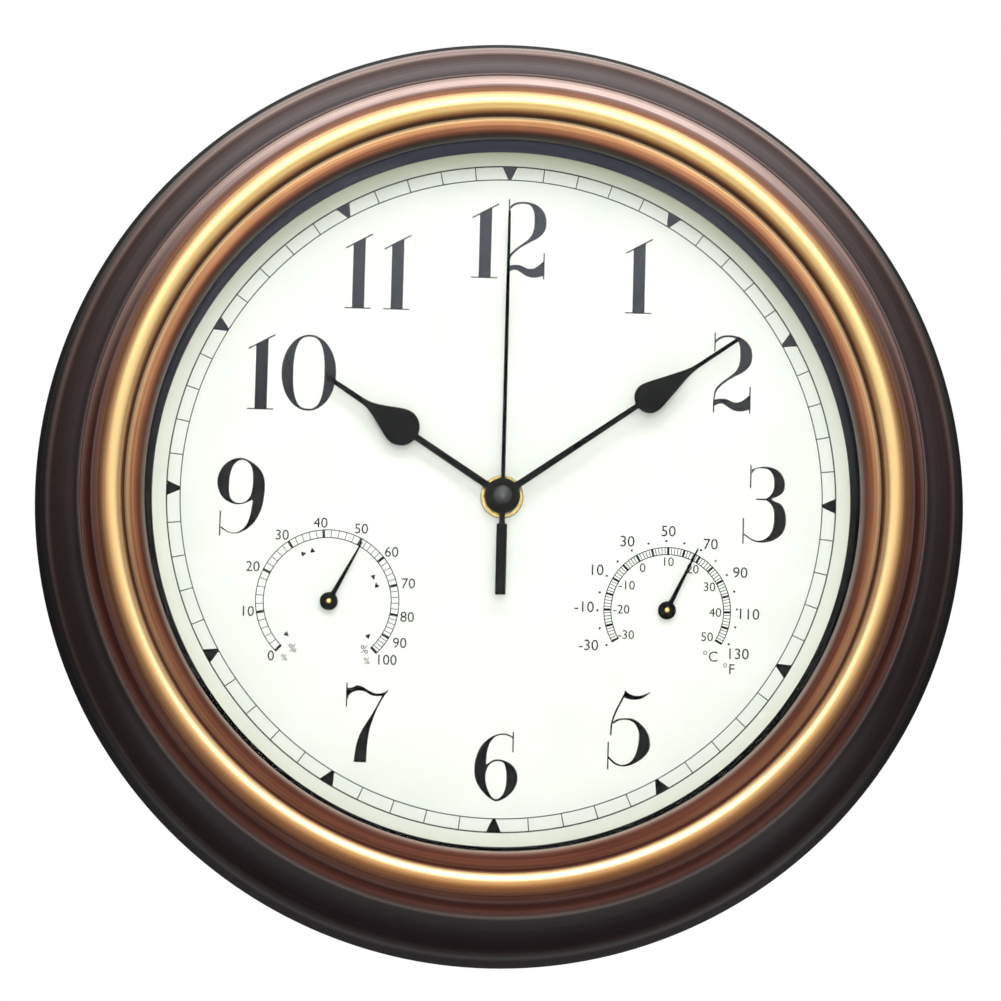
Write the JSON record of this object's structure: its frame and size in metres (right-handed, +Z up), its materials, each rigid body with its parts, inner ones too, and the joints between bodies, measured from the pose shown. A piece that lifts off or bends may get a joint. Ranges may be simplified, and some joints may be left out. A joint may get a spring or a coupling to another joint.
{
  "type": "outdoor wall clock with humidity and temperature dials",
  "caption": "Round wall clock with a wide stepped ring frame, flat glass, numbered dial, three hands, and small humidity and temperature pointers, driven by a quartz movement.",
  "frame": {"origin": "on the wall plane behind the clock, on the axis of the hands", "axes": "+Z up towards twelve o'clock, dial facing -Y, +Y into the wall"},
  "size_m": [0.305, 0.046, 0.305],
  "materials": {
    "frame_bronze": "dark bronze paint with a gold roll and a copper inner band",
    "glass": "clear flat glass",
    "black_plastic": "moulded black",
    "dial": "matt off-white with black print",
    "black_paint": "satin black paint",
    "rubber": "matt",
    "brass": "turned",
    "steel": "plain",
    "white_plastic": "moulded",
    "copper": "enamelled wire",
    "board": "green circuit board",
    "cell_wrap": "plain wrap without print",
    "bimetal": "rolled strip"
  },
  "bodies": {
    "clock_case": {"outer_frame": "frame_bronze", "lens": "glass", "lens_seal": "rubber", "spacer_ring": "black_plastic", "dial": "dial", "back_cover": "black_plastic", "back_seal": "rubber", "cover_screw_1": "steel", "cover_screw_2": "steel", "cover_screw_3": "steel", "cover_screw_4": "steel", "cover_screw_5": "steel", "cover_screw_6": "steel", "hanger_plate": "steel", "hanger_rivet_1": "steel", "hanger_rivet_2": "steel", "movement_seal": "rubber", "movement_case": "black_plastic", "movement_lid": "black_plastic", "train_plate": "white_plastic", "rubber_washer": "rubber", "centre_bush": "brass", "bush_washer": "brass", "bush_nut": "brass", "circuit_board": "board", "control_chip": "black_plastic", "quartz_crystal": "steel", "stator": "steel", "coil_bobbin": "white_plastic", "coil_winding": "copper", "positive_contact": "steel", "negative_contact": "steel", "hygrometer_cup": "white_plastic", "hygrometer_coil": "bimetal", "thermometer_cup": "white_plastic", "thermometer_coil": "bimetal"},
    "second_drive": {"second_wheel": "white_plastic", "second_hand": "black_paint"},
    "minute_drive": {"centre_wheel": "white_plastic", "minute_hand": "black_paint"},
    "hour_drive": {"hour_wheel": "white_plastic", "hour_hand": "black_paint"},
    "third_drive": {"third_wheel": "white_plastic"},
    "intermediate_drive": {"intermediate_wheel": "white_plastic"},
    "rotor_drive": {"rotor": "black_plastic"},
    "motion_drive": {"motion_wheel": "white_plastic"},
    "knob_drive": {"setting_knob": "black_plastic"},
    "hygrometer_drive": {"hygrometer_arbor": "brass", "hygrometer_pointer": "black_paint"},
    "thermometer_drive": {"thermometer_arbor": "brass", "thermometer_pointer": "black_paint"},
    "cell": {"battery": "cell_wrap"}
  },
  "joints": [
    {"name": "second_spin", "type": "hinge", "parent": "clock_case", "child": "second_drive", "pos_m": [0, -0.01, 0], "axis": [0, 1, 0], "continuous": true},
    {"name": "minute_spin", "type": "hinge", "parent": "clock_case", "child": "minute_drive", "pos_m": [0, -0.01, 0], "axis": [0, 1, 0], "continuous": true},
    {"name": "hour_spin", "type": "hinge", "parent": "clock_case", "child": "hour_drive", "pos_m": [0, -0.01, 0], "axis": [0, 1, 0], "continuous": true},
    {"name": "third_spin", "type": "hinge", "parent": "clock_case", "child": "third_drive", "pos_m": [-0.00725, -0.006, 0.00419], "axis": [0, 1, 0], "continuous": true},
    {"name": "intermediate_spin", "type": "hinge", "parent": "clock_case", "child": "intermediate_drive", "pos_m": [0.00729, -0.006, 0.00421], "axis": [0, 1, 0], "continuous": true},
    {"name": "rotor_spin", "type": "hinge", "parent": "clock_case", "child": "rotor_drive", "pos_m": [0.01246, -0.006, 0.00783], "axis": [0, 1, 0], "continuous": true},
    {"name": "motion_spin", "type": "hinge", "parent": "clock_case", "child": "motion_drive", "pos_m": [0, -0.013, 0.008], "axis": [0, 1, 0], "continuous": true},
    {"name": "knob_spin", "type": "hinge", "parent": "clock_case", "child": "knob_drive", "pos_m": [0, -0.003, 0.0164], "axis": [0, 1, 0], "continuous": true},
    {"name": "hygrometer_swing", "type": "hinge", "parent": "clock_case", "child": "hygrometer_drive", "pos_m": [-0.0552, -0.015, -0.0356], "axis": [0, 1, 0], "range_deg": [-160.7, 107.3]},
    {"name": "thermometer_swing", "type": "hinge", "parent": "clock_case", "child": "thermometer_drive", "pos_m": [0.0544, -0.015, -0.0356], "axis": [0, 1, 0], "range_deg": [-142.5, 95.5]},
    {"name": "cell_lift", "type": "slide", "parent": "clock_case", "child": "cell", "axis": [0, 1, 0], "range_m": [0, 0.016]}
  ],
  "couplings": [
    {"joint": "minute_spin", "follows": "second_spin", "ratio": 0.016667},
    {"joint": "hour_spin", "follows": "second_spin", "ratio": 0.0013889},
    {"joint": "third_spin", "follows": "second_spin", "ratio": -0.13333},
    {"joint": "intermediate_spin", "follows": "second_spin", "ratio": -6},
    {"joint": "rotor_spin", "follows": "second_spin", "ratio": 30},
    {"joint": "motion_spin", "follows": "second_spin", "ratio": -0.0055556},
    {"joint": "knob_spin", "follows": "second_spin", "ratio": 0.013889}
  ]
}
